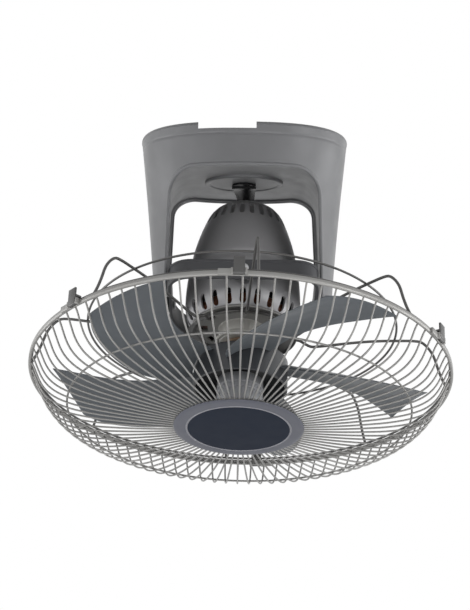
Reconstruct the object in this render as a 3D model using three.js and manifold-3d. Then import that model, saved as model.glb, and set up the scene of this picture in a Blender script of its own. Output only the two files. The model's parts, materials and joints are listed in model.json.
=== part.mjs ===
// Orbital ceiling fan: a canopy with two legs, a gimbal ring, a caged fan head and the crank that
// drives the head's tail in a circle.  Millimetres, +Z up.  The origin is on the ceiling, on the
// canopy's axis.  Azimuths run from the front (-Y) towards the right (+X).
import * as THREE from 'three';
import { mergeVertices } from 'three/addons/utils/BufferGeometryUtils.js';
import Module from 'manifold-3d';

const wasm = await Module();
wasm.setup();
const { Manifold } = wasm;

// ---------------------------------------------------------------- driving dimensions
const GAP = 0.3; // between pieces that touch
const PIVOT_DROP = 171; // ceiling to the gimbal centre
const TILT = 21.5; // the crank holds the head this far off the vertical
const SIDE_TILT = 1.4; // sideways share of the tilt at rest

// canopy; heights count from the gimbal centre
const CANOPY = {
  topR: 107.5, footR: 92, footZ: -10, taper: 1.25, wall: 3,
  edgeR: 3, groove: 0.8, grooveZ: 159, cavityFloorZ: 16,
  footInnerZ: -8.5, footOuterZ: -2,
  squareness: 0.55, squareFromZ: 100, squareToZ: 150, // round at the legs, squarer at the ceiling
};
const TUNNEL = { halfW: 76.3, cornerR: 26, ceilingZ: 128.5, draft: 0.035, lip: 4.5, lipDepth: 5 };
const NOTCH = { fromX: -47, toX: 11, depth: 7 };
const CEILING_PLATE = { thickness: 2, discR: 60, strapW: 44, lugDrop: 18, slotX: 40, slotW: 6, slotL: 16 };
const TERMINAL_BLOCK = { x: -4, y: -44, length: 40, width: 16, height: 12, wells: 4, pitch: 9, wellR: 2.2 };
const CAPACITOR = { y: 55, length: 44, width: 18, height: 24 };
const HOOD_SCREW = { z: 160.5, shankR: 2, headR: 4.2, headDepth: 2.2 };

// crank
const BOSS = { r: 40.9, z: 127.6, holeR: 8, chamfer: 1.5 };
const SWEEP_R = 123.2; // nothing on the head reaches further from the gimbal centre above the motor
const CRANK = { clearance: 0.8, nearR: 12.7, farR: 8, length: 46, hubR: 6.5, bushR: 5.5 };
const CRANK_SHAFT_R = 4;
const GEAR_CASE = { r: 29, height: 11, offset: 9, earL: 8, earW: 12, earT: 3 };
const SWING_MOTOR = { r: 25, height: 16 };

// gimbal ring
const RING = { halfW: 76.5, cornerR: 23.5, wall: 3.5, height: 22 };
const PIVOT_PIN = { r: 3, headR: 5, headT: 2.2 };
const LEG_BOSS = { r: 9, faceX: 80.2 };

// motor
const HOUSING_R = 59.8;
const SHELL = 2.5;
const JOINT_Z = 33; // where the two housings meet
const LOWER_VENTS = { count: 24, width: 3.6, topZ: -11.5, bottomZ: -25.6, turn: 7.5 };
const UPPER_VENTS = { count: 26, width: 4, topZ: 101, bottomZ: 88, turn: 1.7 };
const CROWN_R = 45; // where the top cover's side turns into its crown
const PIVOT_POCKET = { r: 8, depth: 4, wall: 2.2 };
const STATOR = { outerR: 50, innerR: 32, bottomZ: -8, topZ: 22 };
const WINDING = { outerR: 47, innerR: 34, height: 11 };
const AIR_GAP = 0.6;
const SHAFT = { r: 5, topZ: 47, bottomZ: -116 };
const BEARING = { r: 11, width: 7 };
const UPPER_BEARING_Z = 36;
const BRACKET_WINDOW = { innerR: 22, outerR: 46, width: 18 };
const BRACKET = {
  r: 51.5, topZ: -27.5, plateZ: -36, plateT: 2, noseR: 24, noseZ: -46, slots: 10, slotR: 38, slotW: 8, slotL: 9,
};

// guards
const RIM = { r: 213.8, thickness: 2, topZ: -81.9, height: 5 };
const WIRE_R = 1; // radial wires of the front guard
const WIRE_COUNT = 90;
// Shares of the way out and up from the plate in the middle to the rim.
const WIRE_SHAPE = [[0, 0], [0.38, 0.07], [0.67, 0.172], [0.83, 0.33], [0.915, 0.555], [0.958, 0.785], [1, 1]];
const SUPPORT_RING = { r: 173.2, wireR: 1 };
const HUB_PLATE = { r: 62, thickness: 3.4, z: -138.2 };
const BADGE = { r: 65.5, faceZ: -141.8, dome: 1.2, grooveR: 52.5, grooveW: 1.2 };
const SPOKE = { count: 8, firstAz: 3.85, wireR: 1.4, root: 5 };
// Shares of the way out and down from the plate under the motor to the rear rim.
const SPOKE_SHAPE = [
  [0, 0], [0.05, 0.014], [0.125, 0.152], [0.238, 0.092], [0.325, 0.028], [0.5, -0.083], [0.669, -0.147],
  [0.844, -0.154], [0.884, -0.028], [0.922, 0.184], [0.95, 0.541], [1, 1],
];
const BACK_RING = { r: 159.2, wireR: 1.2, rise: 1.8 };
const REAR_RIM = { inset: 1.8, wireR: 1.2 }; // rests on the rim
const GUARD_PLATE = { r: 57, thickness: 1.4 };
const GUARD_NUT = { r: 31, height: 4, notches: 8 };

// clips on the rim
const CLIP_AZIMUTHS = { front: -2.5, left: -49, right: 61, back: 173 };
const CLIP = {
  length: 27, height: 7.5, thickness: 5, backWall: 1, pinR: 0.9, leverW: 9, leverT: 1.8, tabRise: 9,
};

// blades; [share of the way from hub to tip, trailing azimuth, trailing z, leading azimuth, leading z]
const BLADE = { count: 5, thickness: 2.4, camber: 5, rootGap: 0.4, tipGap: 18.3 };
const BLADE_STATIONS = [
  [0, -17, -85, 37, -72.5],
  [0.217, -10, -94, 34.3, -74],
  [0.424, -1, -97.5, 36.2, -75],
  [0.631, 7.8, -96.5, 41.2, -75],
  [0.838, 16, -93, 46.8, -74.5],
  [0.962, 21.6, -88, 49.5, -74.4],
  [1, 23.6, -85, 50.5, -75],
];
const COLLAR_R = 9;
const HUB = { r: 48.2, topZ: -66, neckTopZ: -54, bottomZ: -98, wall: 2.6, boreR: 9, webDrop: 8, webT: 3 };
const SPINNER = { r: 23.5, topZ: -88, bottomZ: -121, flutes: 12 };

// ---------------------------------------------------------------- helpers
const rad = THREE.MathUtils.degToRad;
const polar = (r, az, z = 0) => new THREE.Vector3(r * Math.sin(rad(az)), -r * Math.cos(rad(az)), z);

// A closed indexed geometry with merged vertices, no empty triangles, and its faces pointing out.
function closed(geometry) {
  const bare = geometry.clone();
  for (const name of Object.keys(bare.attributes)) if (name !== 'position') bare.deleteAttribute(name);
  const merged = mergeVertices(bare, 1e-4);
  const p = merged.attributes.position;
  const kept = [];
  let volume = 0;
  const [a, b, c] = [new THREE.Vector3(), new THREE.Vector3(), new THREE.Vector3()];
  for (let i = 0; i < merged.index.count; i += 3) {
    const [u, v, w] = [0, 1, 2].map((k) => merged.index.getX(i + k));
    if (u === v || v === w || w === u) continue;
    kept.push(u, v, w);
    volume += a.fromBufferAttribute(p, u).dot(b.fromBufferAttribute(p, v).cross(c.fromBufferAttribute(p, w)));
  }
  if (volume < 0) for (let i = 0; i < kept.length; i += 3) [kept[i], kept[i + 1]] = [kept[i + 1], kept[i]];
  const out = new THREE.BufferGeometry();
  out.setAttribute('position', new THREE.Float32BufferAttribute(p.array, 3));
  out.setIndex(kept);
  return out;
}

const solid = (geometry) => {
  const g = closed(geometry);
  const vertProperties = new Float32Array(g.attributes.position.array);
  return new Manifold(new wasm.Mesh({ numProp: 3, vertProperties, triVerts: new Uint32Array(g.index.array) }));
};

const union = (...solids) => Manifold.union(solids.flat(2));
const cut = (base, ...tools) => base.subtract(union(tools));

function geometryOf(body) {
  const mesh = body.getMesh();
  const g = new THREE.BufferGeometry();
  g.setAttribute('position', new THREE.Float32BufferAttribute(mesh.vertProperties, 3));
  g.setIndex(Array.from(mesh.triVerts));
  return g;
}

// Revolves [radius, z] pairs about Z.
function revolve(pairs, segments = 48) {
  const points = pairs.map(([r, z]) => new THREE.Vector2(r, z));
  return solid(new THREE.LatheGeometry(points, segments).rotateX(Math.PI / 2));
}

const cylinder = (r, bottom, top, segments = 32) =>
  revolve([[0, bottom], [r, bottom], [r, top], [0, top]], segments);

const tubeOf = (outerR, innerR, bottom, top, segments = 40) =>
  revolve([[innerR, bottom], [outerR, bottom], [outerR, top], [innerR, top], [innerR, bottom]], segments);

// A round wire bent into a circle about Z.
function hoop(r, wireR, z, segments, sides = 4) {
  const section = Array.from({ length: sides + 1 }, (_, i) => {
    const a = ((i % sides) * 2 * Math.PI) / sides;
    return [r + wireR * Math.cos(a), z + wireR * Math.sin(a)];
  });
  return revolve(section, segments);
}

function box(x0, x1, y0, y1, z0, z1) {
  const g = new THREE.BoxGeometry(x1 - x0, y1 - y0, z1 - z0);
  return solid(g.translate((x0 + x1) / 2, (y0 + y1) / 2, (z0 + z1) / 2));
}

// Extrudes a shape drawn in x and z along y, from y0 to y1.
function extrudeY(shape, y0, y1, curveSegments = 8) {
  const g = new THREE.ExtrudeGeometry(shape, { depth: y1 - y0, bevelEnabled: false, curveSegments });
  return solid(g.rotateX(Math.PI / 2).translate(0, y1, 0));
}

// Extrudes a shape drawn in x and y up z, from z0 to z1.
function extrudeZ(shape, z0, z1, curveSegments = 8) {
  const g = new THREE.ExtrudeGeometry(shape, { depth: z1 - z0, bevelEnabled: false, curveSegments });
  return solid(g.translate(0, 0, z0));
}

const quad = (a, b, c, d) => [[a, b, c], [a, c, d]];
const fromTriangles = (triangles) => solid(new THREE.BufferGeometry().setFromPoints(triangles.flat()));

// A round wire of a few sides through [radius, z] points, at azimuth 0.
function wire(pairs, wireR, sides) {
  const line = pairs.map(([r, z]) => polar(r, 0, z));
  const last = line.length - 1;
  const steps = line.slice(1).map((p, i) => p.clone().sub(line[i]).normalize());
  const across = new THREE.Vector3(1, 0, 0);
  const rings = line.map((p, i) => {
    const along = steps[Math.max(i - 1, 0)].clone().add(steps[Math.min(i, last - 1)]).normalize();
    const up = across.clone().cross(along);
    return Array.from({ length: sides }, (_, k) => {
      const a = ((k + 0.5) * 2 * Math.PI) / sides;
      return p.clone().addScaledVector(across, wireR * Math.cos(a)).addScaledVector(up, wireR * Math.sin(a));
    });
  });
  const next = (k) => (k + 1) % sides;
  const walls = steps.flatMap((_, i) =>
    rings[i].flatMap((p, k) => quad(p, rings[i + 1][k], rings[i + 1][next(k)], rings[i][next(k)])),
  );
  const [first, end] = [rings[0], rings[last]];
  const caps = first.slice(2).flatMap((_, k) => [
    [first[0], first[k + 1], first[k + 2]],
    [end[0], end[k + 2], end[k + 1]],
  ]);
  return fromTriangles([...walls, ...caps]);
}

// The [radius, z] points of a shape given as shares of the way between two ends.
const between = ([r0, z0], [r1, z1], shape) => shape.map(([u, v]) => [r0 + (r1 - r0) * u, z0 + (z1 - z0) * v]);

// The height of a line of [radius, z] points at a radius.
function heightAt(pairs, r) {
  const i = pairs.findIndex(([nextR]) => nextR >= r);
  const [[r0, z0], [r1, z1]] = [pairs[i - 1], pairs[i]];
  return z0 + ((z1 - z0) * (r - r0)) / (r1 - r0);
}

// Turns a solid made along Z so that its axis points along +X, or along +Y.
const alongX = (body) => body.rotate([0, 90, 0]);
const alongY = (body) => body.rotate([-90, 0, 0]);
const turned = (body, az) => body.rotate([0, 0, az]);

const group = new THREE.Group();
const canopyFrame = new THREE.Group();
const ringFrame = new THREE.Group();
const headFrame = new THREE.Group();
canopyFrame.position.z = -PIVOT_DROP;
ringFrame.rotation.x = -rad(TILT);
headFrame.rotation.y = rad(SIDE_TILT);
group.add(canopyFrame);
canopyFrame.add(ringFrame);
ringFrame.add(headFrame);
// The crank's arm points where the tail is.
const CRANK_AZ = 180 - THREE.MathUtils.radToDeg(Math.atan2(Math.sin(rad(SIDE_TILT)), Math.sin(rad(TILT))));

const material = (color, roughness, metalness = 0) =>
  new THREE.MeshStandardMaterial({ color, roughness, metalness });
const MATERIALS = {
  canopyPlastic: material(0x7b7c7e, 0.55),
  motorPlastic: material(0x77777a, 0.5),
  castAluminium: material(0xa3a19b, 0.45, 0.6),
  guardWire: material(0x96948f, 0.35, 0.7),
  bladePlastic: material(0x62686e, 0.45),
  blackPlastic: material(0x17181a, 0.5),
  badgePlastic: material(0x484c56, 0.4),
  steel: material(0xb4b4b6, 0.35, 0.9),
  copper: material(0x9c5a34, 0.4, 0.8),
  laminate: material(0x5a5c60, 0.5, 0.8),
  brass: material(0x8a6a44, 0.4, 0.8),
  rubber: material(0x1b1b1b, 0.85),
  creamPlastic: material(0xd8d4c8, 0.5),
};

function add(frame, name, body, mat) {
  const mesh = new THREE.Mesh(geometryOf(body), mat);
  mesh.name = name;
  frame.add(mesh);
}

// ---------------------------------------------------------------- canopy and what it carries
const canopyR = (z) => {
  const share = Math.max(0, (z - CANOPY.footZ) / (PIVOT_DROP - CANOPY.footZ));
  return CANOPY.footR + (CANOPY.topR - CANOPY.footR) * share ** CANOPY.taper;
};

// The canopy's outer form, drawn in by inset and running from bottom to top.
function canopyBody(inset, bottom, top, grooved = false) {
  const levels = [bottom, ...[70, 105, 130].filter((z) => z > bottom + 5)];
  const side = levels.map((z) => [canopyR(z) - inset, z]);
  if (grooved) {
    const [z, d] = [CANOPY.grooveZ, CANOPY.groove];
    side.push([canopyR(z), z - d], [canopyR(z) - d, z], [canopyR(z) - d, z + d], [canopyR(z), z + 2 * d]);
    const shoulder = top - CANOPY.edgeR;
    side.push([canopyR(shoulder), shoulder]);
    side.push([canopyR(top) - CANOPY.edgeR * 0.3, top - CANOPY.edgeR * 0.3], [canopyR(top) - CANOPY.edgeR, top]);
  } else {
    side.push([canopyR(Math.min(top, PIVOT_DROP)) - inset, top]);
  }
  const points = [[0, bottom], ...side, [0, top]].map(([r, z]) => new THREE.Vector2(r, z));
  const geometry = new THREE.LatheGeometry(points, 36).rotateX(Math.PI / 2);
  const p = geometry.attributes.position;
  for (let i = 0; i < p.count; i += 1) {
    const k = squaring(Math.atan2(p.getY(i), p.getX(i)), p.getZ(i));
    p.setXY(i, p.getX(i) * k, p.getY(i) * k);
  }
  return solid(geometry);
}

// How far out of round the canopy's plan is at an angle and a height.
function squaring(angle, z) {
  const share = THREE.MathUtils.smoothstep(z, CANOPY.squareFromZ, CANOPY.squareToZ);
  const n = 2 + CANOPY.squareness * share;
  return (Math.abs(Math.cos(angle)) ** n + Math.abs(Math.sin(angle)) ** n) ** (-1 / n);
}

// The arch through the canopy from front to back, grown by a margin.
function tunnel(grow, y0 = -2 * CANOPY.topR, y1 = 2 * CANOPY.topR) {
  const w = TUNNEL.halfW + grow;
  const r = TUNNEL.cornerR + grow;
  const bottom = CANOPY.footZ - 20;
  const springZ = TUNNEL.ceilingZ - TUNNEL.cornerR;
  const bottomW = w + (springZ - bottom) * TUNNEL.draft;
  const shape = new THREE.Shape();
  shape.moveTo(-bottomW, bottom);
  shape.lineTo(-w, springZ);
  shape.absarc(-w + r, springZ, r, Math.PI, Math.PI / 2, true);
  shape.lineTo(w - r, springZ + r);
  shape.absarc(w - r, springZ, r, Math.PI / 2, 0, true);
  shape.lineTo(bottomW, bottom);
  return extrudeY(shape, y0, y1, 5);
}

const tunnelCeiling = TUNNEL.ceilingZ + TUNNEL.lip;
const cavityFloor = tunnelCeiling + CANOPY.wall;

function canopy() {
  const outer = canopyBody(0, CANOPY.footZ, PIVOT_DROP, true);
  const core = canopyBody(TUNNEL.lipDepth, CANOPY.footZ - 5, PIVOT_DROP);
  const cavity = canopyBody(CANOPY.wall, CANOPY.cavityFloorZ, PIVOT_DROP + 1).subtract(
    tunnel(TUNNEL.lip + CANOPY.wall),
  );
  const legBosses = [1, -1].map((side) =>
    alongX(cylinder(LEG_BOSS.r, side * LEG_BOSS.faceX, side * (CANOPY.footR - 4), 16)),
  );
  const shell = union(cut(outer, tunnel(0), tunnel(TUNNEL.lip).intersect(core), cavity), legBosses);
  const footCut = new THREE.Shape();
  const far = CANOPY.footR + 20;
  const near = TUNNEL.halfW - 6;
  const slope = (CANOPY.footOuterZ - CANOPY.footInnerZ) / (CANOPY.footR - LEG_BOSS.faceX);
  footCut.moveTo(near, CANOPY.footInnerZ + slope * (near - LEG_BOSS.faceX));
  footCut.lineTo(far, CANOPY.footOuterZ + slope * (far - CANOPY.footR));
  footCut.lineTo(far, CANOPY.footZ - 30);
  footCut.lineTo(near, CANOPY.footZ - 30);
  const foot = extrudeY(footCut, -CANOPY.topR, CANOPY.topR);
  const pinHoles = [1, -1].map((side) =>
    alongX(cylinder(PIVOT_PIN.r + GAP, side * (LEG_BOSS.faceX - 1), side * (CANOPY.footR - 2.4), 12)),
  );
  const screwHoles = [1, -1].map((side) => {
    const r = canopyR(HOOD_SCREW.z);
    return union(
      alongX(cylinder(HOOD_SCREW.shankR + GAP, side * (r - 8), side * (r + 2), 12)),
      alongX(cylinder(HOOD_SCREW.headR + GAP, side * (r - HOOD_SCREW.headDepth), side * (r + 2), 12)),
    ).translate([0, 0, HOOD_SCREW.z]);
  });
  const notchBottom = PIVOT_DROP - NOTCH.depth;
  const notch = box(NOTCH.fromX, NOTCH.toX, -CANOPY.topR - 5, -CANOPY.topR * 0.7, notchBottom, PIVOT_DROP + 5);
  const shaftHole = cylinder(BOSS.holeR, tunnelCeiling - 5, cavityFloor + 5, 20);
  return cut(shell, foot, foot.rotate([0, 0, 180]), pinHoles, screwHoles, notch, shaftHole);
}

// The plate on the ceiling: a disc with a strap whose turned-down lugs take the canopy's screws.
function ceilingPlate() {
  const top = PIVOT_DROP;
  const bottom = top - CEILING_PLATE.thickness;
  const lugX = canopyR(HOOD_SCREW.z) - CANOPY.wall - 2;
  const half = CEILING_PLATE.strapW / 2;
  const strap = box(-lugX, lugX, -half, half, bottom, top);
  const lugs = [1, -1].map((side) => {
    const [x0, x1] = [side * lugX, side * (lugX - CEILING_PLATE.thickness)].sort((a, b) => a - b);
    return box(x0, x1, -half / 2, half / 2, top - CEILING_PLATE.lugDrop, top);
  });
  const tapped = [1, -1].map((side) =>
    alongX(cylinder(HOOD_SCREW.shankR + GAP, side * (lugX - 6), side * (lugX + 3), 12)),
  );
  const slots = [1, -1].map((side) => {
    const x = side * CEILING_PLATE.slotX;
    const [w, l] = [CEILING_PLATE.slotW / 2, CEILING_PLATE.slotL / 2];
    return box(x - w, x + w, -l, l, bottom - 1, top + 1);
  });
  const plate = union(cylinder(CEILING_PLATE.discR, bottom, top, 40), strap, lugs);
  return cut(plate, union(tapped).translate([0, 0, HOOD_SCREW.z]), slots);
}

// A screw along X whose head is flush with the canopy's side.
function hoodScrew(side) {
  const r = canopyR(HOOD_SCREW.z);
  const tip = r - CANOPY.wall - 9;
  const shank = alongX(cylinder(HOOD_SCREW.shankR, side * tip, side * (r - HOOD_SCREW.headDepth + GAP), 16));
  const head = alongX(
    cylinder(HOOD_SCREW.headR, side * (r - HOOD_SCREW.headDepth + GAP), side * (r - GAP), 20),
  );
  return union(shank, head).translate([0, 0, HOOD_SCREW.z]);
}

const gearCaseBottom = cavityFloor + GAP;
const gearCaseTop = gearCaseBottom + GEAR_CASE.height;
const crankTop = BOSS.z - GAP;

function gearCase() {
  const body = cylinder(GEAR_CASE.r, gearCaseBottom, gearCaseTop, 28).translate([0, GEAR_CASE.offset, 0]);
  const { r, offset, earL, earW, earT } = GEAR_CASE;
  const ears = box(-r - earL, r + earL, offset - earW / 2, offset + earW / 2, gearCaseBottom, gearCaseBottom + earT);
  return cut(union(body, ears), cylinder(CRANK_SHAFT_R + GAP, gearCaseBottom - 1, gearCaseTop - 2, 20));
}

function swingMotor() {
  const bottom = gearCaseTop + GAP;
  return cylinder(SWING_MOTOR.r, bottom, bottom + SWING_MOTOR.height, 24).translate([0, GEAR_CASE.offset, 0]);
}

function bossCover() {
  const top = tunnelCeiling - GAP;
  const rimR = BOSS.r;
  return revolve(
    [
      [BOSS.holeR, BOSS.z + 0.8], [rimR - 5, BOSS.z + 0.8], [rimR - 4, BOSS.z], [rimR - BOSS.chamfer, BOSS.z],
      [rimR, BOSS.z + BOSS.chamfer], [rimR, top], [BOSS.holeR, top], [BOSS.holeR, BOSS.z + 0.8],
    ],
    32,
  );
}

// A pin through a leg's boss and the ring's side, with its head inside the ring.
function legPin(side) {
  const inner = RING.halfW - RING.wall - 3 * GAP;
  const shank = alongX(cylinder(PIVOT_PIN.r, side * inner, side * (CANOPY.footR - 2.8), 12));
  const head = alongX(cylinder(PIVOT_PIN.headR, side * (inner - PIVOT_PIN.headT), side * inner, 16));
  return union(shank, head);
}

function legWasher(side) {
  const washer = tubeOf(LEG_BOSS.r - 1, PIVOT_PIN.r + GAP, RING.halfW + GAP, LEG_BOSS.faceX - GAP, 16);
  return turned(alongX(washer), side > 0 ? 0 : 180);
}

function terminalBlock() {
  const { x, y, length, width, height, wells, pitch, wellR } = TERMINAL_BLOCK;
  const top = PIVOT_DROP - CEILING_PLATE.thickness - GAP;
  const body = box(x - length / 2, x + length / 2, y - width / 2, y + width / 2, top - height, top);
  const well = cylinder(wellR, top - height - 2, top - height / 3, 8);
  const wellX = (i) => x + pitch * (i - (wells - 1) / 2);
  return cut(body, Array.from({ length: wells }, (_, i) => well.translate([wellX(i), y, 0])));
}

function capacitor() {
  const { y, length, width, height } = CAPACITOR;
  const bottom = cavityFloor + GAP;
  return box(-length / 2, length / 2, y - width / 2, y + width / 2, bottom, bottom + height);
}

add(canopyFrame, 'canopy_hood', canopy(), MATERIALS.canopyPlastic);
add(canopyFrame, 'ceiling_plate', ceilingPlate(), MATERIALS.steel);
add(canopyFrame, 'hood_screw_left', hoodScrew(-1), MATERIALS.steel);
add(canopyFrame, 'hood_screw_right', hoodScrew(1), MATERIALS.steel);
add(canopyFrame, 'terminal_block', terminalBlock(), MATERIALS.creamPlastic);
add(canopyFrame, 'run_capacitor', capacitor(), MATERIALS.blackPlastic);
add(canopyFrame, 'swing_gear_case', gearCase(), MATERIALS.blackPlastic);
add(canopyFrame, 'swing_motor', swingMotor(), MATERIALS.steel);
add(canopyFrame, 'crank_boss_cover', bossCover(), MATERIALS.canopyPlastic);
for (const [name, side] of [['left', -1], ['right', 1]]) {
  add(canopyFrame, `leg_pin_${name}`, legPin(side), MATERIALS.steel);
  add(canopyFrame, `leg_washer_${name}`, legWasher(side), MATERIALS.blackPlastic);
}

// ---------------------------------------------------------------- crank
// The cap of the sphere that the head sweeps, with clearance: its facets touch the sphere from outside.
const crankUnderside = (() => {
  const step = rad(6);
  const r = (SWEEP_R + CRANK.clearance) / Math.cos(step / 2);
  const arc = [5, 4, 3, 2, 1, 0].map((i) => [r * Math.sin(i * step), r * Math.cos(i * step)]);
  return revolve([[0, 0], [arc[0][0], 0], ...arc], 24);
})();

function crankArm() {
  const shape = new THREE.Shape();
  const lean = Math.asin((CRANK.nearR - CRANK.farR) / CRANK.length);
  shape.absarc(0, 0, CRANK.nearR, Math.PI - lean, 2 * Math.PI + lean, false);
  shape.absarc(0, CRANK.length, CRANK.farR, lean, Math.PI - lean, false);
  const plate = extrudeZ(shape, SWEEP_R * 0.8, crankTop, 7);
  const hub = cylinder(CRANK.hubR, crankTop - 1, tunnelCeiling - GAP, 24);
  const bore = cylinder(CRANK_SHAFT_R + GAP, crankTop - 1.2, tunnelCeiling + 2, 20);
  const bushHole = cylinder(CRANK.bushR + GAP, SWEEP_R * 0.7, crankTop - 2, 20).translate([0, CRANK.length, 0]);
  return cut(union(plate, hub), crankUnderside, bore, bushHole);
}

function crankBush() {
  const body = cylinder(CRANK.bushR, SWEEP_R * 0.8, crankTop - 2 - GAP, 20);
  return body.translate([0, CRANK.length, 0]).subtract(crankUnderside);
}

// The arm is modelled pointing back (+Y) and turned to where the tail is.
const atCrankAngle = (body) => turned(body, CRANK_AZ - 180);
add(canopyFrame, 'crank_arm', atCrankAngle(crankArm()), MATERIALS.blackPlastic);
add(canopyFrame, 'crank_bush', atCrankAngle(crankBush()), MATERIALS.rubber);
const crankShaft = () => cylinder(CRANK_SHAFT_R, crankTop - 1.2 + GAP, gearCaseTop - 2 - GAP, 20);
add(canopyFrame, 'crank_shaft', crankShaft(), MATERIALS.steel);

// ---------------------------------------------------------------- gimbal ring
// In plan the ring is flat at the front, with round corners, and half round at the back.
function ringOutline(inset) {
  const w = RING.halfW - inset;
  const r = RING.cornerR - inset;
  const shape = new THREE.Shape();
  shape.moveTo(w, 0);
  shape.absarc(0, 0, w, 0, Math.PI, false);
  shape.lineTo(-w, -w + r);
  shape.absarc(-w + r, -w + r, r, Math.PI, 1.5 * Math.PI, false);
  shape.lineTo(w - r, -w);
  shape.absarc(w - r, -w + r, r, 1.5 * Math.PI, 2 * Math.PI, false);
  return shape;
}

function gimbalRing() {
  const half = RING.height / 2;
  const outer = extrudeZ(ringOutline(0), -half, half, 7);
  const inner = extrudeZ(ringOutline(RING.wall), -half - 1, half + 1, 7);
  const hole = cylinder(PIVOT_PIN.r + GAP, -RING.halfW - 2, RING.halfW + 2, 12);
  return cut(outer, inner, alongX(hole), alongY(hole));
}

// A pin held by the ring's front or back wall; its inner end carries the motor.
function ringPin(side) {
  const outer = RING.halfW + GAP;
  const tip = HOUSING_R - PIVOT_POCKET.depth - PIVOT_POCKET.wall + GAP;
  const shank = cylinder(PIVOT_PIN.r, side * tip, side * outer, 12);
  const head = cylinder(PIVOT_PIN.headR, side * outer, side * (outer + PIVOT_PIN.headT), 16);
  const collar = cylinder(PIVOT_PIN.headR, side * (HOUSING_R + 2), side * (RING.halfW - RING.wall - 3 * GAP), 16);
  return alongY(union(shank, head, collar));
}

add(ringFrame, 'gimbal_ring', gimbalRing(), MATERIALS.motorPlastic);
add(ringFrame, 'ring_pin_front', ringPin(-1), MATERIALS.steel);
add(ringFrame, 'ring_pin_back', ringPin(1), MATERIALS.steel);

// ---------------------------------------------------------------- motor
// A shell from an outer profile: the same profile drawn in by the wall and walked back down.
const shellOf = (profile, wall, segments) =>
  revolve([...profile, ...profile.map(([r, z]) => [r - wall, z]).reverse(), profile[0]], segments);

const UPPER_PROFILE = [
  [56.9, JOINT_Z + GAP], [52.8, 60], [49.4, 73], [45, 87], [41.2, 97], [38.6, 102], [35.2, 106.4], [31, 109.8],
  [24, 113],
];
const UPPER_TOP = 114.5;
const LOWER_PROFILE = [
  [51.8, BRACKET.topZ + GAP], [58.8, -12], [HOUSING_R, -5], [HOUSING_R, 9], [57.2, JOINT_Z],
];

function ventSlots({ count, width, bottomZ, topZ }) {
  const slot = box(-width / 2, width / 2, -HOUSING_R - GAP, -HOUSING_R / 2, bottomZ, topZ);
  return Array.from({ length: count }, (_, i) => turned(slot, (360 * (i + 0.5)) / count));
}

function motorTopCover() {
  const inward = ([r, z]) => [r - SHELL, z - (r < CROWN_R ? SHELL : 0)];
  const wallDown = UPPER_PROFILE.filter((_, i) => i % 2 === 0).map(inward).reverse();
  const crown = [[12, UPPER_TOP], [0, UPPER_TOP], [0, UPPER_TOP - SHELL], [12, UPPER_TOP - SHELL]];
  const shell = revolve([...UPPER_PROFILE, ...crown, ...wallDown, UPPER_PROFILE[0]], UPPER_VENTS.count);
  const cover = cut(shell, ventSlots(UPPER_VENTS), cylinder(2 + GAP, UPPER_TOP - 6, UPPER_TOP + 1, 12));
  return turned(cover, UPPER_VENTS.turn);
}

function motorLowerHousing() {
  const shell = shellOf(LOWER_PROFILE, SHELL, LOWER_VENTS.count);
  const pocketFloor = HOUSING_R - PIVOT_POCKET.depth;
  const bosses = [1, -1].map((side) =>
    alongY(cylinder(PIVOT_POCKET.r + 2, side * (pocketFloor - PIVOT_POCKET.wall), side * (HOUSING_R - 0.4), 16)),
  );
  const pockets = [1, -1].map((side) =>
    union(
      alongY(cylinder(PIVOT_POCKET.r, side * pocketFloor, side * (HOUSING_R + 5), 16)),
      alongY(cylinder(PIVOT_PIN.r + GAP, side * (pocketFloor - 5), side * (HOUSING_R + 5), 12)),
    ),
  );
  const slots = union(ventSlots(LOWER_VENTS));
  return cut(union(turned(shell, LOWER_VENTS.turn), bosses), pockets, turned(slots, LOWER_VENTS.turn));
}

// The slots round the bracket's flat, which the guard's plate below it shares.
function bracketSlots(bottom, top) {
  const { slotR, slotW, slotL, slots } = BRACKET;
  const slot = box(-slotL / 2, slotL / 2, -slotR - slotW / 2, -slotR + slotW / 2, bottom, top);
  return Array.from({ length: slots }, (_, i) => turned(slot, (360 * (i + 0.5)) / slots));
}

// The cast bracket under the motor: a slotted dish with the nose that holds the lower bearing.
function motorFrontBracket() {
  const { r, topZ, plateZ, plateT, noseR, noseZ } = BRACKET;
  const seatR = BEARING.r + GAP;
  const dish = revolve(
    [
      [seatR, noseZ], [noseR - 2, noseZ], [noseR, noseZ + 2], [noseR, plateZ], [r - 8, plateZ], [r, topZ - 3],
      [r, topZ], [r - 3, topZ], [r - 9.5, plateZ + plateT], [seatR, plateZ + plateT], [seatR, noseZ],
    ],
    3 * BRACKET.slots,
  );
  return cut(dish, bracketSlots(plateZ - 1, plateZ + 5));
}

function upperBearingBracket() {
  const z = UPPER_BEARING_Z;
  const plate = tubeOf(UPPER_PROFILE[0][0] - SHELL - 1.4, BEARING.r + GAP, z, z + 2, 24);
  const cup = tubeOf(BEARING.r + 3, BEARING.r + GAP, z, z + BEARING.width + 1, 16);
  const { innerR, outerR, width } = BRACKET_WINDOW;
  const window = box(innerR, outerR, -width / 2, width / 2, z - 1, z + 4);
  const windows = Array.from({ length: 4 }, (_, i) => turned(window, 45 + 90 * i));
  return cut(union(plate, cup), windows);
}

const bearing = (bottom) => tubeOf(BEARING.r, SHAFT.r + GAP, bottom, bottom + BEARING.width, 16);

const statorCore = () => tubeOf(STATOR.outerR, STATOR.innerR, STATOR.bottomZ, STATOR.topZ, 28);

function winding(bottom) {
  const { outerR, innerR, height } = WINDING;
  const top = bottom + height;
  const c = 3;
  return revolve(
    [
      [innerR, bottom], [outerR - c, bottom], [outerR, bottom + c], [outerR, top - c], [outerR - c, top],
      [innerR, top], [innerR, bottom],
    ],
    24,
  );
}

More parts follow.
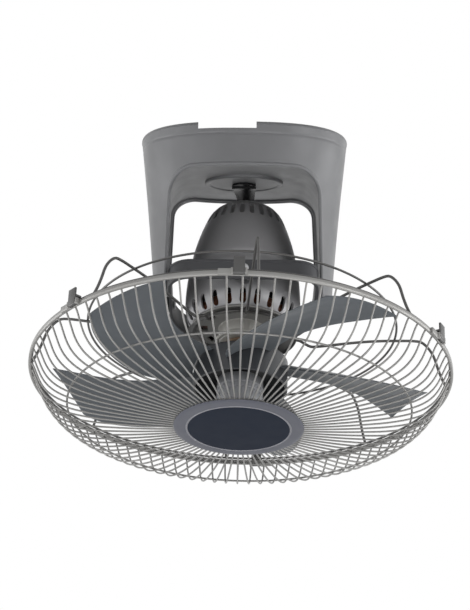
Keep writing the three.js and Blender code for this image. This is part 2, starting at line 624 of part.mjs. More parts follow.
// The stud stands on the crown with a foot, and its end reaches the sphere that the crank clears.
const tailStud = () =>
  union(cylinder(2, UPPER_TOP - 6, UPPER_TOP + GAP + 0.1, 12), revolve(
    [
      [0, UPPER_TOP + GAP], [7, UPPER_TOP + GAP], [7, UPPER_TOP + 2], [4, UPPER_TOP + 3.5], [4, SWEEP_R - 0.4],
      [0, SWEEP_R],
    ],
    16,
  ));

add(headFrame, 'motor_top_cover', motorTopCover(), MATERIALS.motorPlastic);
add(headFrame, 'motor_lower_housing', motorLowerHousing(), MATERIALS.motorPlastic);
add(headFrame, 'motor_front_bracket', motorFrontBracket(), MATERIALS.castAluminium);
add(headFrame, 'upper_bearing_bracket', upperBearingBracket(), MATERIALS.steel);
add(headFrame, 'bearing_upper', bearing(UPPER_BEARING_Z + 0.6), MATERIALS.steel);
add(headFrame, 'bearing_lower', bearing(BRACKET.noseZ + 0.6), MATERIALS.steel);
add(headFrame, 'stator_core', statorCore(), MATERIALS.laminate);
add(headFrame, 'winding_upper', winding(STATOR.topZ + GAP), MATERIALS.copper);
add(headFrame, 'winding_lower', winding(STATOR.bottomZ - GAP - WINDING.height), MATERIALS.copper);
add(headFrame, 'tail_stud', tailStud(), MATERIALS.steel);

// ---------------------------------------------------------------- guards
const WIRE_LINE = between(
  [HUB_PLATE.r - 3, HUB_PLATE.z - 1], [RIM.r - 0.8 * RIM.thickness, RIM.topZ - 0.72 * RIM.height], WIRE_SHAPE,
);

function frontGuard() {
  const one = wire(WIRE_LINE, WIRE_R, 3);
  const wires = Array.from({ length: WIRE_COUNT }, (_, i) => turned(one, (360 * i) / WIRE_COUNT));
  const plateBottom = HUB_PLATE.z - HUB_PLATE.thickness / 2;
  const plate = cylinder(HUB_PLATE.r, plateBottom, plateBottom + HUB_PLATE.thickness, WIRE_COUNT / 2);
  const band = tubeOf(RIM.r, RIM.r - RIM.thickness, RIM.topZ - RIM.height, RIM.topZ, WIRE_COUNT / 2);
  return union(wires, plate, band);
}

// A hoop inside the front wires, raised until it is clear of every stretch of them.
function supportRing() {
  const { r, wireR } = SUPPORT_RING;
  const at = (radius, z) => new THREE.Vector3(radius, z, 0);
  const stretches = WIRE_LINE.slice(1).map(([r1, z1], i) => new THREE.Line3(at(...WIRE_LINE[i]), at(r1, z1)));
  const distance = (p) => Math.min(...stretches.map((s) => s.closestPointToPoint(p, true, at(0, 0)).distanceTo(p)));
  let z = heightAt(WIRE_LINE, r);
  while (distance(at(r, z)) < WIRE_R + wireR + GAP) z += 0.1;
  return hoop(r, wireR, z, 36);
}

const REAR_RIM_R = RIM.r - REAR_RIM.inset;
const REAR_RIM_Z = RIM.topZ + GAP + REAR_RIM.wireR;
const GUARD_PLATE_TOP = BRACKET.plateZ - GAP;
const SPOKE_LINE = between(
  [GUARD_PLATE.r - SPOKE.root, GUARD_PLATE_TOP - GUARD_PLATE.thickness / 2], [REAR_RIM_R, REAR_RIM_Z], SPOKE_SHAPE,
);

function backGuard() {
  const one = wire(SPOKE_LINE, SPOKE.wireR, 4);
  const spokes = Array.from({ length: SPOKE.count }, (_, i) => turned(one, SPOKE.firstAz + (360 * i) / SPOKE.count));
  const ring = hoop(BACK_RING.r, BACK_RING.wireR, heightAt(SPOKE_LINE, BACK_RING.r) + BACK_RING.rise, 32);
  const rim = hoop(REAR_RIM_R, REAR_RIM.wireR, REAR_RIM_Z, WIRE_COUNT / 2);
  const plateBottom = GUARD_PLATE_TOP - GUARD_PLATE.thickness;
  const plate = tubeOf(GUARD_PLATE.r, BRACKET.noseR + 2 * GAP, plateBottom, GUARD_PLATE_TOP, 24);
  return union(cut(plate, bracketSlots(plateBottom - 1, GUARD_PLATE_TOP + 1)), spokes, ring, rim);
}

// The ring nut on the bracket's nose that holds the back guard.
function guardNut() {
  const top = BRACKET.plateZ - GUARD_PLATE.thickness - 2 * GAP;
  const body = tubeOf(GUARD_NUT.r, BRACKET.noseR + GAP, top - GUARD_NUT.height, top, 24);
  const notch = box(-2.5, 2.5, -GUARD_NUT.r - 1, -GUARD_NUT.r + 2, top - GUARD_NUT.height - 1, top + 1);
  return cut(body, Array.from({ length: GUARD_NUT.notches }, (_, i) => turned(notch, (360 * i) / GUARD_NUT.notches)));
}

function hubBadge() {
  const { r, faceZ, dome, grooveR, grooveW } = BADGE;
  const low = faceZ - dome;
  const top = HUB_PLATE.z - HUB_PLATE.thickness / 2 - GAP;
  return revolve(
    [
      [0, low], [grooveR - grooveW, low + 0.5], [grooveR, low + 1.1], [grooveR + grooveW, low + 0.6], [r - 3, faceZ],
      [r, faceZ + 0.8], [r, top], [0, top],
    ],
    32,
  );
}

add(headFrame, 'back_guard', backGuard(), MATERIALS.guardWire);
add(headFrame, 'guard_nut', guardNut(), MATERIALS.blackPlastic);
add(headFrame, 'front_guard', frontGuard(), MATERIALS.guardWire);
add(headFrame, 'guard_support_ring', supportRing(), MATERIALS.guardWire);
add(headFrame, 'hub_badge', hubBadge(), MATERIALS.badgePlastic);

// ---------------------------------------------------------------- clips
// A clip is drawn at the front (azimuth 0) and turned to its place.  Its lever hinges on a pin along X.
const clipInnerY = -RIM.r - GAP;
const clipPinZ = RIM.topZ - RIM.height + 1;
const clipPinY = clipInnerY - (CLIP.thickness + CLIP.backWall) / 2;

function clipBody() {
  const top = RIM.topZ + 1.5;
  const bottom = top - CLIP.height;
  const half = CLIP.length / 2;
  const body = box(-half, half, clipInnerY - CLIP.thickness, clipInnerY, bottom, top);
  const [bayY0, bayY1] = [clipInnerY - CLIP.thickness - 1, clipInnerY - CLIP.backWall];
  const bay = box(half - CLIP.leverW - 4, half - 2, bayY0, bayY1, bottom - 1, top + 1);
  const pin = alongX(cylinder(CLIP.pinR, half - CLIP.leverW - 5, half - 1, 12)).translate([0, clipPinY, clipPinZ]);
  return union(cut(body, bay), pin);
}

// The lever fills the bay: an eye on the pin, a plate up past the rim, and a hook over the rear ring.
function clipLever() {
  const half = CLIP.length / 2;
  const [x0, x1] = [half - CLIP.leverW - 4 + GAP, half - 2 - GAP];
  const outerY = clipInnerY - CLIP.thickness;
  const hookZ = REAR_RIM_Z + REAR_RIM.wireR + GAP;
  const eyeR = (CLIP.thickness - CLIP.backWall) / 2 - GAP;
  const eye = alongX(cylinder(eyeR, x0, x1, 16)).translate([0, clipPinY, clipPinZ]);
  const plate = box(x0, x1, outerY - 0.2, outerY - 0.2 + CLIP.leverT, clipPinZ, RIM.topZ + CLIP.tabRise + 3);
  const hook = box(x0, x1, outerY - 0.2, -REAR_RIM_R + 0.5, hookZ, hookZ + 2);
  const bore = alongX(cylinder(CLIP.pinR + GAP, x0 - 2, x1 + 2, 12)).translate([0, clipPinY, clipPinZ]);
  return cut(union(eye, plate, hook), bore);
}

for (const [name, az] of Object.entries(CLIP_AZIMUTHS)) {
  add(headFrame, `clip_body_${name}`, turned(clipBody(), az), MATERIALS.guardWire);
  add(headFrame, `clip_lever_${name}`, turned(clipLever(), az), MATERIALS.guardWire);
}

// ---------------------------------------------------------------- rotor and blades
const rotorCore = () => tubeOf(STATOR.innerR - AIR_GAP, SHAFT.r + GAP, STATOR.bottomZ, STATOR.topZ, 28);

// The collar on the shaft between the bracket's nose and the blade hub.
const shaftCollar = () => tubeOf(COLLAR_R, SHAFT.r + GAP, HUB.neckTopZ + GAP, BRACKET.noseZ - 2 * GAP, 24);

function bladeHub() {
  const { r, topZ, neckTopZ, bottomZ, wall, boreR, webDrop, webT } = HUB;
  const web = topZ - webDrop;
  const [shaftR, seatZ] = [SHAFT.r + GAP, SPINNER.topZ + GAP];
  return revolve(
    [
      [shaftR, seatZ], [boreR, seatZ], [boreR, web - webT], [r - wall, web - webT], [r - wall, bottomZ],
      [r, bottomZ], [r, topZ], [r - 3, topZ + 1], [boreR + 6, web], [boreR + 3, neckTopZ], [shaftR, neckTopZ],
      [shaftR, seatZ],
    ],
    30,
  );
}

// The spinner nut: a fluted cup that clamps the hub on the shaft.
function spinnerNut() {
  const { r, topZ, bottomZ, flutes } = SPINNER;
  const [boreR, boreEnd] = [SHAFT.r + GAP, SHAFT.bottomZ - GAP];
  const body = revolve(
    [
      [0, bottomZ], [r - 6, bottomZ], [r - 2, bottomZ + 2], [r, bottomZ + 7], [r, topZ], [boreR, topZ],
      [boreR, boreEnd], [0, boreEnd],
    ],
    24,
  );
  const flute = cylinder(2, bottomZ - 1, topZ + 1, 8).translate([0, -r - 0.6, 0]);
  return cut(body, Array.from({ length: flutes }, (_, i) => turned(flute, (360 * i) / flutes)));
}

// A blade is a cambered sheet between its trailing and leading edges, stepped out by radius.
function blade() {
  const across = 5;
  const half = BLADE.thickness / 2;
  const [rootR, tipR] = [HUB.r + BLADE.rootGap, RIM.r - RIM.thickness - BLADE.tipGap];
  const rows = BLADE_STATIONS.map(([share, trailingAz, trailingZ, leadingAz, leadingZ]) =>
    Array.from({ length: across + 1 }, (_, j) => {
      const t = j / across;
      const camber = BLADE.camber * 4 * t * (1 - t);
      const z = THREE.MathUtils.lerp(trailingZ, leadingZ, t) + camber;
      return polar(rootR + (tipR - rootR) * share, THREE.MathUtils.lerp(trailingAz, leadingAz, t), z);
    }),
  );
  const top = rows.map((row) => row.map((p) => p.clone().setZ(p.z + half)));
  const bottom = rows.map((row) => row.map((p) => p.clone().setZ(p.z - half)));
  const faces = [];
  const last = rows.length - 1;
  for (let i = 0; i < last; i += 1) {
    for (let j = 0; j < across; j += 1) {
      faces.push(...quad(top[i][j], top[i + 1][j], top[i + 1][j + 1], top[i][j + 1]));
      faces.push(...quad(bottom[i][j], bottom[i][j + 1], bottom[i + 1][j + 1], bottom[i + 1][j]));
    }
    faces.push(...quad(top[i][0], bottom[i][0], bottom[i + 1][0], top[i + 1][0]));
    faces.push(...quad(top[i][across], top[i + 1][across], bottom[i + 1][across], bottom[i][across]));
  }
  for (let j = 0; j < across; j += 1) {
    faces.push(...quad(top[0][j], top[0][j + 1], bottom[0][j + 1], bottom[0][j]));
    faces.push(...quad(top[last][j], bottom[last][j], bottom[last][j + 1], top[last][j + 1]));
  }
  return fromTriangles(faces);
}

add(headFrame, 'motor_shaft', cylinder(SHAFT.r, SHAFT.bottomZ, SHAFT.topZ, 24), MATERIALS.steel);
add(headFrame, 'shaft_collar', shaftCollar(), MATERIALS.brass);
add(headFrame, 'rotor_core', rotorCore(), MATERIALS.laminate);
add(headFrame, 'blade_hub', bladeHub(), MATERIALS.blackPlastic);
add(headFrame, 'spinner_nut', spinnerNut(), MATERIALS.bladePlastic);
for (let i = 0; i < BLADE.count; i += 1) {
  add(headFrame, `blade_${i + 1}`, turned(blade(), (360 * i) / BLADE.count), MATERIALS.bladePlastic);
}

export default group;
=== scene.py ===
"""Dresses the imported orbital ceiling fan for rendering.  Shapes are drawn in millimetres in the frame of
the piece that carries them, and that frame's matrix turns them into metres in the shared frame."""
import json
import math

import bmesh
import bpy
from mathutils import Matrix, Vector


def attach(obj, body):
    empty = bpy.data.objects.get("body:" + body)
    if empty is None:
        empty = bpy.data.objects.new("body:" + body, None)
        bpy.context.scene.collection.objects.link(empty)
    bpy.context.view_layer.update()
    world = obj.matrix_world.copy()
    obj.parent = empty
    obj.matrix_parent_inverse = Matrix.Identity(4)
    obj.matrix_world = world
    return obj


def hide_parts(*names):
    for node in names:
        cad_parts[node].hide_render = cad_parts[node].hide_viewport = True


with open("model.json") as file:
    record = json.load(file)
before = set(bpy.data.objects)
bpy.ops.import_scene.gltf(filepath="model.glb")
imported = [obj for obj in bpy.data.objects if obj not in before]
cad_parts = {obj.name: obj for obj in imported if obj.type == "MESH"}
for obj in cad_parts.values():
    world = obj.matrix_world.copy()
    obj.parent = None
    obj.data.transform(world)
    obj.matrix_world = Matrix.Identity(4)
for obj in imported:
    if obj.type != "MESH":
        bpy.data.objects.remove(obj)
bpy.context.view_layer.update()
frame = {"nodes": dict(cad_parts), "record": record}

# ---------------------------------------------------------------- camera
scene = bpy.context.scene
camera = bpy.data.objects.new("camera", bpy.data.cameras.new("camera"))
scene.collection.objects.link(camera)
FOCAL_PIXELS, PICTURE_HEIGHT, SENSOR = 1700, 610, 36
PLACE = (-0.0150, -1.7581, -0.399)
YAW, PITCH, ROLL = -0.0039, 0.1291, -0.0104
camera.data.lens = FOCAL_PIXELS / PICTURE_HEIGHT * SENSOR
camera.data.clip_start = 0.05
turn = Matrix.Rotation(YAW, 3, "Z") @ Matrix.Rotation(PITCH, 3, "X") @ Matrix.Rotation(ROLL, 3, "Y")
right, forward, up = (turn @ Vector(v) for v in ((1, 0, 0), (0, 1, 0), (0, 0, 1)))
pose = Matrix((right, up, -forward)).transposed().to_4x4()
camera.matrix_world = Matrix.Translation(PLACE) @ pose
scene.camera = camera
scene.view_settings.view_transform = "Standard"

# ---------------------------------------------------------------- frames
DROP = 171  # from the ceiling down to the gimbal's centre
LEAN, SIDE_LEAN = math.radians(21.5), math.radians(1.4)
CANOPY = Matrix.Translation((0, 0, -DROP / 1000)) @ Matrix.Scale(0.001, 4)
RING = CANOPY @ Matrix.Rotation(-LEAN, 4, "X")
HEAD = RING @ Matrix.Rotation(SIDE_LEAN, 4, "Y")
CRANK_TURN = -math.atan2(math.sin(SIDE_LEAN), math.sin(LEAN))


def polar(r, az, z):
    a = math.radians(az)
    return Vector((r * math.sin(a), -r * math.cos(a), z))


# ---------------------------------------------------------------- mesh helpers
class Build:
    """Gathers vertices and faces of one piece."""

    def __init__(self):
        self.verts = []
        self.faces = []

    def add(self, verts, faces, matrix=None):
        start = len(self.verts)
        self.verts += [matrix @ Vector(v) if matrix else Vector(v) for v in verts]
        self.faces += [tuple(start + i for i in f) for f in faces]
        return self

    def object(self, name):
        mesh = bpy.data.meshes.new(name)
        mesh.from_pydata(self.verts, [], self.faces)
        mesh.update()
        bm = bmesh.new()
        bm.from_mesh(mesh)
        bmesh.ops.remove_doubles(bm, verts=bm.verts, dist=1e-4)
        bmesh.ops.recalc_face_normals(bm, faces=bm.faces)
        bm.to_mesh(mesh)
        bm.free()
        piece = bpy.data.objects.new(name, mesh)
        scene.collection.objects.link(piece)
        return piece


def lathe(profile, segments, closed=True):
    """Vertices and faces of [radius, z] pairs turned about Z; a closed profile is a loop."""
    verts, faces, rows = [], [], []
    for r, z in profile:
        if r < 1e-6:
            rows.append([len(verts)] * segments)
            verts.append((0, 0, z))
        else:
            rows.append(list(range(len(verts), len(verts) + segments)))
            step = 2 * math.pi / segments
            verts += [(r * math.cos(i * step), r * math.sin(i * step), z) for i in range(segments)]
    count = len(rows) if closed else len(rows) - 1
    for k in range(count):
        a, b = rows[k], rows[(k + 1) % len(rows)]
        for i in range(segments):
            j = (i + 1) % segments
            face = []
            for v in (a[i], a[j], b[j], b[i]):
                if v not in face:
                    face.append(v)
            if len(face) > 2:
                faces.append(tuple(face))
    return verts, faces


def spline(points, per_span=3):
    """A smooth run of points through the given ones, which it keeps: Catmull-Rom by the distance's root."""
    p = [Vector(q) for q in points]
    out = []
    for i in range(len(p) - 1):
        a = p[i - 1] if i else p[0] * 2 - p[1]
        b, c = p[i], p[i + 1]
        d = p[i + 2] if i + 2 < len(p) else p[-1] * 2 - p[-2]
        t0, t1 = 0.0, max((b - a).length, 1e-6) ** 0.5
        t2 = t1 + max((c - b).length, 1e-6) ** 0.5
        t3 = t2 + max((d - c).length, 1e-6) ** 0.5
        for s in range(per_span):
            t = t1 + (t2 - t1) * s / per_span
            a1 = a * ((t1 - t) / (t1 - t0)) + b * ((t - t0) / (t1 - t0))
            a2 = b * ((t2 - t) / (t2 - t1)) + c * ((t - t1) / (t2 - t1))
            a3 = c * ((t3 - t) / (t3 - t2)) + d * ((t - t2) / (t3 - t2))
            b1 = a1 * ((t2 - t) / (t2 - t0)) + a2 * ((t - t0) / (t2 - t0))
            b2 = a2 * ((t3 - t) / (t3 - t1)) + a3 * ((t - t1) / (t3 - t1))
            out.append(b1 * ((t2 - t) / (t2 - t1)) + b2 * ((t - t1) / (t2 - t1)))
    out.append(p[-1].copy())
    return out


def tube(points, radius, sides):
    """Vertices and faces of a round wire along points, its frame carried without twist."""
    n = len(points)
    tangents = [(points[min(i + 1, n - 1)] - points[max(i - 1, 0)]).normalized() for i in range(n)]
    normal = tangents[0].orthogonal().normalized()
    verts, faces = [], []
    for i, t in enumerate(tangents):
        normal = (normal - t * normal.dot(t)).normalized()
        side = t.cross(normal)
        for k in range(sides):
            a = 2 * math.pi * k / sides
            verts.append(points[i] + (normal * math.cos(a) + side * math.sin(a)) * radius)
    for i in range(n - 1):
        j = i + 1
        for k in range(sides):
            m = (k + 1) % sides
            faces.append((i * sides + k, i * sides + m, j * sides + m, j * sides + k))
    faces.append(tuple(range(sides)))
    faces.append(tuple(range((n - 1) * sides, n * sides)))
    return verts, faces


def hoop(r, radius, z, segments=180):
    """A ring of round wire about Z, ten-sided in section."""
    turns = [2 * math.pi * k / 10 for k in range(10)]
    return lathe([(r + radius * math.cos(a), z + radius * math.sin(a)) for a in turns], segments)


def block(x0, x1, y0, y1, z0, z1):
    verts = [(x, y, z) for z in (z0, z1) for y in (y0, y1) for x in (x0, x1)]
    faces = [(0, 1, 3, 2), (4, 5, 7, 6), (0, 1, 5, 4), (2, 3, 7, 6), (0, 2, 6, 4), (1, 3, 7, 5)]
    return verts, faces


def prism(outline, z0, z1):
    """A polygon of (x, y) pairs carried from z0 to z1."""
    n = len(outline)
    verts = [(x, y, z0) for x, y in outline] + [(x, y, z1) for x, y in outline]
    faces = [tuple(range(n)), tuple(range(n, 2 * n))]
    faces += [(i, (i + 1) % n, n + (i + 1) % n, n + i) for i in range(n)]
    return verts, faces


def settle(piece):
    """Applies a piece's modifiers."""
    bpy.context.view_layer.update()
    made = bpy.data.meshes.new_from_object(piece.evaluated_get(bpy.context.evaluated_depsgraph_get()))
    piece.modifiers.clear()
    piece.data = made
    return piece


def cut(piece, tool, operation="DIFFERENCE"):
    m = piece.modifiers.new("cut", "BOOLEAN")
    m.operation = operation
    m.solver = "EXACT"
    m.object = tool
    settle(piece)
    bpy.data.objects.remove(tool)
    return piece


def bevel(piece, width, segments=2):
    """Rounds the edges that turn by more than 40 degrees."""
    m = piece.modifiers.new("bevel", "BEVEL")
    m.width = width
    m.segments = segments
    m.limit_method = "ANGLE"
    m.angle_limit = math.radians(40)
    m.use_clamp_overlap = True
    m.miter_outer = "MITER_ARC"
    return settle(piece)


def soften(piece, angle):
    """Smooth shading that keeps edges sharper than the angle."""
    bm = bmesh.new()
    bm.from_mesh(piece.data)
    for f in bm.faces:
        f.smooth = True
    for e in bm.edges:
        e.smooth = len(e.link_faces) == 2 and e.calc_face_angle(0) < math.radians(angle)
    bm.to_mesh(piece.data)
    bm.free()
    return piece


def finish_piece(piece, matrix, body, material, nodes=(), angle=32):
    """Puts a piece in its place on its body, with its material and the nodes that it stands for."""
    soften(piece, angle)
    piece.data.transform(matrix)
    piece.data.materials.clear()
    piece.data.materials.append(material)
    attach(piece, body)
    if nodes:
        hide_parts(*nodes)
    return piece


# ---------------------------------------------------------------- materials
def shader(name, color, rough, metal=0.0, coat=0.0, ior=1.5):
    m = bpy.data.materials.new(name)
    m.use_nodes = True
    tree = m.node_tree
    bsdf = tree.nodes["Principled BSDF"]
    bsdf.inputs["Base Color"].default_value = (*color, 1)
    bsdf.inputs["Roughness"].default_value = rough
    bsdf.inputs["Metallic"].default_value = metal
    bsdf.inputs["Coat Weight"].default_value = coat
    bsdf.inputs["IOR"].default_value = ior
    return m, tree, bsdf


def noise(tree, scale, detail, rough=0.5):
    coords = tree.nodes.new("ShaderNodeTexCoord")
    n = tree.nodes.new("ShaderNodeTexNoise")
    n.inputs["Scale"].default_value = scale
    n.inputs["Detail"].default_value = detail
    n.inputs["Roughness"].default_value = rough
    tree.links.new(coords.outputs["Object"], n.inputs["Vector"])
    return n


def spread(tree, source, low, high, low_at=0.35, high_at=0.65):
    """Maps a factor onto a range of values."""
    r = tree.nodes.new("ShaderNodeMapRange")
    r.inputs["From Min"].default_value = low_at
    r.inputs["From Max"].default_value = high_at
    r.inputs["To Min"].default_value = low
    r.inputs["To Max"].default_value = high
    tree.links.new(source, r.inputs["Value"])
    return r.outputs["Result"]


def tint(tree, factor, low, high):
    ramp = tree.nodes.new("ShaderNodeValToRGB")
    ramp.color_ramp.elements[0].position = 0.3
    ramp.color_ramp.elements[0].color = (*low, 1)
    ramp.color_ramp.elements[1].position = 0.7
    ramp.color_ramp.elements[1].color = (*high, 1)
    tree.links.new(factor, ramp.inputs["Fac"])
    return ramp.outputs["Color"]


def bump(tree, bsdf, height, strength, distance=0.0002):
    b = tree.nodes.new("ShaderNodeBump")
    b.inputs["Strength"].default_value = strength
    b.inputs["Distance"].default_value = distance
    tree.links.new(height, b.inputs["Height"])
    tree.links.new(b.outputs["Normal"], bsdf.inputs["Normal"])


def moulded(
    name, color, rough, grain=1400, grain_depth=0.25, vary=0.06, sheen=0.0, metal=0.0, gloss=0.5, ior=1.5
):
    """Moulded or painted plastic: a fine grain, a soft drift of tone and of gloss."""
    m, tree, bsdf = shader(name, color, rough, metal, ior=ior)
    bsdf.inputs["Specular IOR Level"].default_value = gloss
    bsdf.inputs["Sheen Weight"].default_value = sheen
    bsdf.inputs["Sheen Roughness"].default_value = 0.45
    drift = noise(tree, 18, 4)
    low = tuple(c * (1 - vary) for c in color)
    high = tuple(c * (1 + vary) for c in color)
    tree.links.new(tint(tree, drift.outputs["Fac"], low, high), bsdf.inputs["Base Color"])
    cloud = noise(tree, 60, 5, 0.6)
    tree.links.new(spread(tree, cloud.outputs["Fac"], rough - 0.05, rough + 0.07), bsdf.inputs["Roughness"])
    bump(tree, bsdf, noise(tree, grain, 2).outputs["Fac"], grain_depth, 0.00008)
    return m


def metallic(name, color, rough, metal, stretch=None):
    """Metal or metallic paint, with brushing where stretch is given."""
    m, tree, bsdf = shader(name, color, rough, metal)
    drift, vary = noise(tree, 30, 4), 0.08
    low = tuple(c * (1 - vary) for c in color)
    high = tuple(min(1, c * (1 + vary)) for c in color)
    tree.links.new(tint(tree, drift.outputs["Fac"], low, high), bsdf.inputs["Base Color"])
    grain = noise(tree, 700, 3)
    if stretch:
        scale = tree.nodes.new("ShaderNodeVectorMath")
        scale.operation = "MULTIPLY"
        scale.inputs[1].default_value = stretch
        source = grain.inputs["Vector"].links[0].from_socket
        tree.links.new(source, scale.inputs[0])
        tree.links.new(scale.outputs["Vector"], grain.inputs["Vector"])
    tree.links.new(spread(tree, grain.outputs["Fac"], rough - 0.06, rough + 0.1), bsdf.inputs["Roughness"])
    bump(tree, bsdf, grain.outputs["Fac"], 0.15, 0.00006)
    return m


def painted(name, color, rough):
    """Metallic paint on wire: a slow drift of tone and of gloss, and no grain."""
    m, tree, bsdf = shader(name, color, rough, 0.35, 0.15)
    drift = noise(tree, 14, 3)
    low, high = (tuple(c * k for c in color) for k in (0.94, 1.05))
    tree.links.new(tint(tree, drift.outputs["Fac"], low, high), bsdf.inputs["Base Color"])
    cloud = noise(tree, 90, 3)
    tree.links.new(spread(tree, cloud.outputs["Fac"], rough - 0.04, rough + 0.06), bsdf.inputs["Roughness"])
    return m


def banded(name, color, dark, rough, metal, bands):
    """Fine bands across Z, as on wound wire or stacked sheet."""
    m, tree, bsdf = shader(name, color, rough, metal)
    coords = tree.nodes.new("ShaderNodeTexCoord")
    w = tree.nodes.new("ShaderNodeTexWave")
    w.bands_direction = "Z"
    w.inputs["Scale"].default_value = bands
    w.inputs["Distortion"].default_value = 0.6
    w.inputs["Detail"].default_value = 1
    tree.links.new(coords.outputs["Object"], w.inputs["Vector"])
    tree.links.new(tint(tree, w.outputs["Fac"], dark, color), bsdf.inputs["Base Color"])
    bump(tree, bsdf, w.outputs["Fac"], 0.5, 0.0003)
    return m


CANOPY_GREY = moulded("canopy_grey", (0.205, 0.207, 0.214), 0.42, sheen=0.2, metal=0.1, gloss=0.2)
# Lighter than the canopy's paint, to make up for the shade that the motor hangs in.
MOTOR_GREY = moulded("motor_grey", (0.38, 0.377, 0.387), 0.42, sheen=0.4, metal=0.3, gloss=0.3)
RING_GREY = moulded("ring_grey", (0.1, 0.101, 0.107), 0.42, gloss=0.15)
# The cast aluminium is written lighter than it is, to make up for the shade it hangs in; its darker copy is
# painted shade for the dish's flat plate, the same casting as its nose.
CAST = metallic("cast_aluminium", (0.62, 0.605, 0.57), 0.45, 0.2)
CAST_SHADED = metallic("cast_painted_shade", (0.3, 0.295, 0.285), 0.5, 0.2)
WIRE = painted("guard_paint", (0.25, 0.246, 0.238), 0.36)
REAR_WIRE = painted("rear_guard_paint", (0.08, 0.078, 0.076), 0.38)
BAND = painted("rim_paint", (0.3, 0.296, 0.286), 0.36)
CLIP_GREY = painted("clip_paint", (0.085, 0.084, 0.083), 0.42)
BLADE = moulded("blade_plastic", (0.135, 0.148, 0.162), 0.36, grain=900, vary=0.08, gloss=0.25)
BLACK = moulded("black_plastic", (0.011, 0.011, 0.012), 0.38, grain=1100, gloss=0.2)
GLOSS_BLACK = moulded("gloss_black", (0.009, 0.009, 0.01), 0.3, grain_depth=0.05, gloss=0.25)
HUB_DARK = moulded("hub_plastic", (0.045, 0.048, 0.053), 0.36)
BADGE = moulded("badge_plastic", (0.026, 0.032, 0.048), 0.4, vary=0.04, gloss=0.06, ior=1.25)
BADGE_RIM = moulded("badge_rim", (0.12, 0.125, 0.152), 0.38, vary=0.04, gloss=0.25)
BADGE_LINE = moulded("badge_line", (0.3, 0.3, 0.33), 0.4, vary=0.04)
SPINNER = moulded("spinner_plastic", (0.36, 0.365, 0.385), 0.38)
STEEL = metallic("zinc_steel", (0.45, 0.45, 0.46), 0.45, 0.9, stretch=(1, 1, 8))
COPPER = banded("enamelled_copper", (0.16, 0.055, 0.022), (0.05, 0.016, 0.007), 0.36, 0.6, 260)
LAMINATE = banded("laminated_steel", (0.07, 0.071, 0.076), (0.02, 0.021, 0.024), 0.5, 0.6, 300)
BRASS = metallic("turned_brass", (0.27, 0.19, 0.13), 0.38, 0.5, stretch=(1, 1, 10))
RUBBER = moulded("rubber", (0.014, 0.014, 0.014), 0.75, grain=500, grain_depth=0.5)
CREAM = moulded("cream_plastic", (0.62, 0.58, 0.49), 0.45)
SLOT_MATERIAL = {
    "canopy": CANOPY_GREY, "motor_shell": MOTOR_GREY, "casting": CAST, "guard": WIRE, "blade": BLADE,
    "black_plastic": BLACK, "badge": BADGE, "steel": STEEL, "copper": COPPER, "laminate": LAMINATE,
    "brass": BRASS, "rubber": RUBBER, "cream_plastic": CREAM,
}
for part in frame["record"]["subparts"]:
    node = frame["nodes"][part["node"]]
    node.data.materials.clear()
    node.data.materials.append(SLOT_MATERIAL[part["material_slot"]])

# ---------------------------------------------------------------- canopy
# The arch: half its width, its corners' radius, its ceiling's height and the slope of its sides.
TUNNEL_W, TUNNEL_R, TUNNEL_TOP, DRAFT = 76.3, 26, 128.5, 0.035
GROOVE_Z = 159  # the groove round the canopy, near the ceiling


def canopy_r(z):
    return 92 + 15.5 * (max(0, z + 10) / 181) ** 1.25


def about_x(side=1):
    return Matrix.Rotation(side * math.pi / 2, 4, "X")


def about_y(side):
    return Matrix.Rotation(side * math.pi / 2, 4, "Y")


def arch(grow, bottom=-40):
    """The arch's outline in x and z, from the left foot over to the right one."""
    steps = 14
    w, r = TUNNEL_W + grow, TUNNEL_R + grow
    spring = TUNNEL_TOP - TUNNEL_R
    low = w + (spring - bottom) * DRAFT
    pts = [(-low, bottom)]
    pts += [
        (-w + r - r * math.cos(a), spring + r * math.sin(a))
        for a in (math.pi / 2 * i / steps for i in range(steps + 1))
    ]
    pts += [(-x, z) for x, z in reversed(pts)]
    return pts


def arch_tool(grow):
    return Build().add(*prism(arch(grow), -160, 160), about_x()).object("arch_tool")


def canopy_loop(inset, bottom, top, detail=False):
    zs = [bottom + (min(top, DROP) - bottom) * i / 12 for i in range(13)]
    if not detail:
        side = [(canopy_r(z) - inset, z) for z in zs[:-1]] + [(canopy_r(DROP) - inset, top)]
        return [(0, bottom)] + side + [(0, top)]
    g = GROOVE_Z
    side = [(canopy_r(z), z) for z in zs if z < g - 4]
    side += [(canopy_r(g - k), g - k) for k in (2.6, 1.8)]
    side += [(canopy_r(g) - 0.5, g - 0.5), (canopy_r(g) - 0.5, g + 0.5)]
    side += [(canopy_r(z), z) for z in (g + 1.8, g + 2.6, top - 4.4, top - 3.4)]
    side += [
        (canopy_r(top) - 3.2 + 3.2 * math.cos(a), top - 3.2 + 3.2 * math.sin(a))
        for a in (math.pi / 2 * i / 5 for i in range(6))
    ]
    return [(0, bottom)] + side + [(0, top)]


def plan_power(z):
    """The canopy's plan is a circle at the legs and nears a rounded square at the ceiling."""
    t = min(max((z - 100) / 50, 0), 1)
    return 2 + 0.55 * t * t * (3 - 2 * t)


def canopy_body(name, profile):
    verts, faces = lathe(profile, 180, False)
    out = []
    for x, y, z in verts:
        n, a = plan_power(z), math.atan2(y, x)
        k = (abs(math.cos(a)) ** n + abs(math.sin(a)) ** n) ** (-1 / n)
        out.append((x * k, y * k, z))
    return Build().add(out, faces).object(name)


def canopy_depth(x, z):
    """How far the canopy's surface lies in front of its axis at x and z."""
    n = plan_power(z)
    return (canopy_r(z) ** n - min(abs(x), canopy_r(z)) ** n) ** (1 / n)


